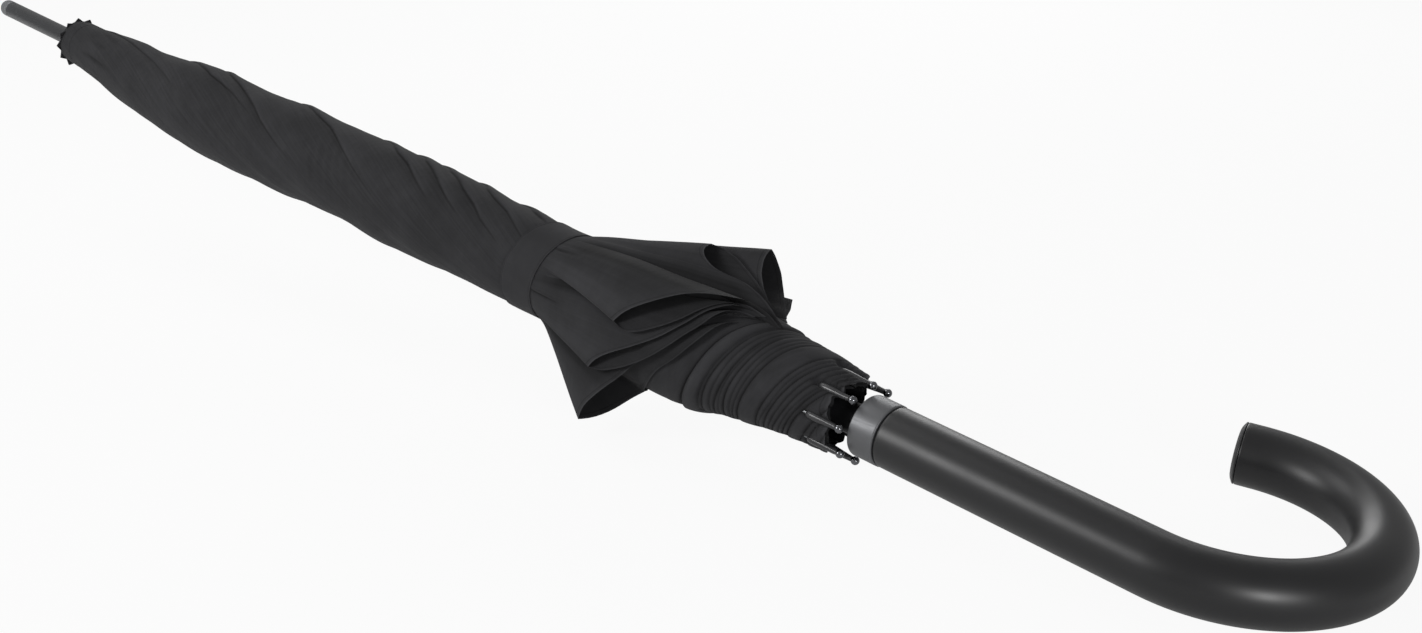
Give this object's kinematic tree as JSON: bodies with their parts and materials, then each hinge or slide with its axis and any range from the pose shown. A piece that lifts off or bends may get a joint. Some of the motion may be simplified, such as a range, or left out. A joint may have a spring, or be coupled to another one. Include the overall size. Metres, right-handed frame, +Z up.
{
  "type": "stick umbrella",
  "caption": "Closed stick umbrella with a crook handle, folding ribs and stretchers on a sliding runner, and a furled dark canopy.",
  "frame": {"origin": "under the middle of the umbrella's bounding box, on the surface it lies on", "axes": "+X along the umbrella towards the crook handle, level; +Y to the side the crook curls to; +Z up"},
  "size_m": [0.8794, 0.1648, 0.1213],
  "materials": {
    "handle_soft_touch": "satin",
    "collar_satin": "satin",
    "black_plastic": "matte",
    "spring_steel": "satin",
    "shaft_steel": "satin",
    "ferrule_grey": "satin",
    "cap_grey": "satin",
    "canopy_cloth": "matte",
    "strap_webbing": "matte",
    "gunmetal": "polished",
    "rib_steel": "satin"
  },
  "bodies": {
    "umbrella_frame": {"crook_handle": "handle_soft_touch", "handle_end_cap": "handle_soft_touch", "handle_collar": "collar_satin", "button_spring": "spring_steel", "shaft_tube": "shaft_steel", "crown": "black_plastic", "crown_wire": "spring_steel", "opening_spring": "spring_steel", "ferrule_sleeve": "ferrule_grey", "ferrule_cap": "cap_grey", "rosette": "canopy_cloth", "canopy_top": "canopy_cloth"},
    "release_button": {"release_button": "black_plastic"},
    "runner": {"runner": "black_plastic", "runner_wire": "spring_steel"},
    "rib_1": {"rib_1": "rib_steel", "rib_tip_1": "gunmetal", "gore_1": "canopy_cloth"},
    "stretcher_1": {"stretcher_1": "rib_steel"},
    "rib_2": {"rib_2": "rib_steel", "rib_tip_2": "gunmetal", "gore_2": "canopy_cloth"},
    "stretcher_2": {"stretcher_2": "rib_steel"},
    "rib_3": {"rib_3": "rib_steel", "rib_tip_3": "gunmetal", "gore_3": "canopy_cloth"},
    "stretcher_3": {"stretcher_3": "rib_steel"},
    "rib_4": {"rib_4": "rib_steel", "rib_tip_4": "gunmetal", "gore_4": "canopy_cloth"},
    "stretcher_4": {"stretcher_4": "rib_steel"},
    "rib_5": {"rib_5": "rib_steel", "rib_tip_5": "gunmetal", "gore_5": "canopy_cloth"},
    "stretcher_5": {"stretcher_5": "rib_steel"},
    "rib_6": {"rib_6": "rib_steel", "rib_tip_6": "gunmetal", "gore_6": "canopy_cloth"},
    "stretcher_6": {"stretcher_6": "rib_steel"},
    "rib_7": {"rib_7": "rib_steel", "rib_tip_7": "gunmetal", "gore_7": "canopy_cloth", "closure_strap": "strap_webbing", "strap_snap": "gunmetal"},
    "stretcher_7": {"stretcher_7": "rib_steel"},
    "rib_8": {"rib_8": "rib_steel", "rib_tip_8": "gunmetal", "gore_8": "canopy_cloth"},
    "stretcher_8": {"stretcher_8": "rib_steel"}
  },
  "joints": [
    {"name": "button_press", "type": "slide", "parent": "umbrella_frame", "child": "release_button", "axis": [0, -1, 0], "range_m": [0, 0.0022], "stiffness_N_per_m": 900, "springref_m": -0.0012, "deforming": ["button_spring"]},
    {"name": "rib_1_hinge", "type": "hinge", "parent": "umbrella_frame", "child": "rib_1", "pos_m": [-0.34459, -0.03716, 0.11026], "axis": [0.0963, -0.5878, 0.8033], "range_deg": [0, 70], "deforming": ["opening_spring", "closure_strap"]},
    {"name": "stretcher_1_elbow", "type": "hinge", "parent": "rib_1", "child": "stretcher_1", "pos_m": [-0.07145, -0.03635, 0.07811], "axis": [0.0963, -0.5878, 0.8033], "range_deg": [-140, 0]},
    {"name": "runner_pivot", "type": "hinge", "parent": "stretcher_1", "child": "runner", "pos_m": [0.20154, -0.03716, 0.04478], "axis": [0.0963, -0.5878, 0.8033], "range_deg": [0, 70]},
    {"name": "rib_2_hinge", "type": "hinge", "parent": "umbrella_frame", "child": "rib_2", "pos_m": [-0.3442, -0.04238, 0.11344], "axis": [0.0186, -0.9877, 0.1553], "range_deg": [0, 70]},
    {"name": "stretcher_2_elbow", "type": "hinge", "parent": "rib_2", "child": "stretcher_2", "pos_m": [-0.07102, -0.04223, 0.08168], "axis": [0.0186, -0.9877, 0.1553], "range_deg": [-140, 0]},
    {"name": "rib_3_hinge", "type": "hinge", "parent": "umbrella_frame", "child": "rib_3", "pos_m": [-0.34437, -0.04834, 0.11202], "axis": [-0.07, -0.809, -0.5836], "range_deg": [0, 70]},
    {"name": "stretcher_3_elbow", "type": "hinge", "parent": "rib_3", "child": "stretcher_3", "pos_m": [-0.07121, -0.04893, 0.08008], "axis": [-0.07, -0.809, -0.5836], "range_deg": [-140, 0]},
    {"name": "rib_4_hinge", "type": "hinge", "parent": "umbrella_frame", "child": "rib_4", "pos_m": [-0.345, -0.05154, 0.10684], "axis": [-0.1176, -0.1564, -0.9807], "range_deg": [0, 70]},
    {"name": "stretcher_4_elbow", "type": "hinge", "parent": "rib_4", "child": "stretcher_4", "pos_m": [-0.07191, -0.05253, 0.07425], "axis": [-0.1176, -0.1564, -0.9807], "range_deg": [-140, 0]},
    {"name": "rib_5_hinge", "type": "hinge", "parent": "umbrella_frame", "child": "rib_5", "pos_m": [-0.3457, -0.05011, 0.10093], "axis": [-0.0963, 0.5878, -0.8033], "range_deg": [0, 70]},
    {"name": "stretcher_5_elbow", "type": "hinge", "parent": "rib_5", "child": "stretcher_5", "pos_m": [-0.07271, -0.05092, 0.0676], "axis": [-0.0963, 0.5878, -0.8033], "range_deg": [-140, 0]},
    {"name": "rib_6_hinge", "type": "hinge", "parent": "umbrella_frame", "child": "rib_6", "pos_m": [-0.34609, -0.04489, 0.09775], "axis": [-0.0186, 0.9877, -0.1553], "range_deg": [0, 70]},
    {"name": "stretcher_6_elbow", "type": "hinge", "parent": "rib_6", "child": "stretcher_6", "pos_m": [-0.07314, -0.04504, 0.06402], "axis": [-0.0186, 0.9877, -0.1553], "range_deg": [-140, 0]},
    {"name": "rib_7_hinge", "type": "hinge", "parent": "umbrella_frame", "child": "rib_7", "pos_m": [-0.34592, -0.03893, 0.09917], "axis": [0.07, 0.809, 0.5836], "range_deg": [0, 70]},
    {"name": "stretcher_7_elbow", "type": "hinge", "parent": "rib_7", "child": "stretcher_7", "pos_m": [-0.07295, -0.03834, 0.06562], "axis": [0.07, 0.809, 0.5836], "range_deg": [-140, 0]},
    {"name": "rib_8_hinge", "type": "hinge", "parent": "umbrella_frame", "child": "rib_8", "pos_m": [-0.34529, -0.03573, 0.10435], "axis": [0.1176, 0.1564, 0.9807], "range_deg": [0, 70]},
    {"name": "stretcher_8_elbow", "type": "hinge", "parent": "rib_8", "child": "stretcher_8", "pos_m": [-0.07225, -0.03474, 0.07145], "axis": [0.1176, 0.1564, 0.9807], "range_deg": [-140, 0]}
  ],
  "couplings": [
    {"joint": "stretcher_1_elbow", "follows": "rib_1_hinge", "ratio": -2},
    {"joint": "runner_pivot", "follows": "rib_1_hinge", "ratio": 1},
    {"joint": "rib_2_hinge", "follows": "rib_1_hinge", "ratio": 1},
    {"joint": "stretcher_2_elbow", "follows": "rib_1_hinge", "ratio": -2},
    {"joint": "rib_3_hinge", "follows": "rib_1_hinge", "ratio": 1},
    {"joint": "stretcher_3_elbow", "follows": "rib_1_hinge", "ratio": -2},
    {"joint": "rib_4_hinge", "follows": "rib_1_hinge", "ratio": 1},
    {"joint": "stretcher_4_elbow", "follows": "rib_1_hinge", "ratio": -2},
    {"joint": "rib_5_hinge", "follows": "rib_1_hinge", "ratio": 1},
    {"joint": "stretcher_5_elbow", "follows": "rib_1_hinge", "ratio": -2},
    {"joint": "rib_6_hinge", "follows": "rib_1_hinge", "ratio": 1},
    {"joint": "stretcher_6_elbow", "follows": "rib_1_hinge", "ratio": -2},
    {"joint": "rib_7_hinge", "follows": "rib_1_hinge", "ratio": 1},
    {"joint": "stretcher_7_elbow", "follows": "rib_1_hinge", "ratio": -2},
    {"joint": "rib_8_hinge", "follows": "rib_1_hinge", "ratio": 1},
    {"joint": "stretcher_8_elbow", "follows": "rib_1_hinge", "ratio": -2}
  ]
}
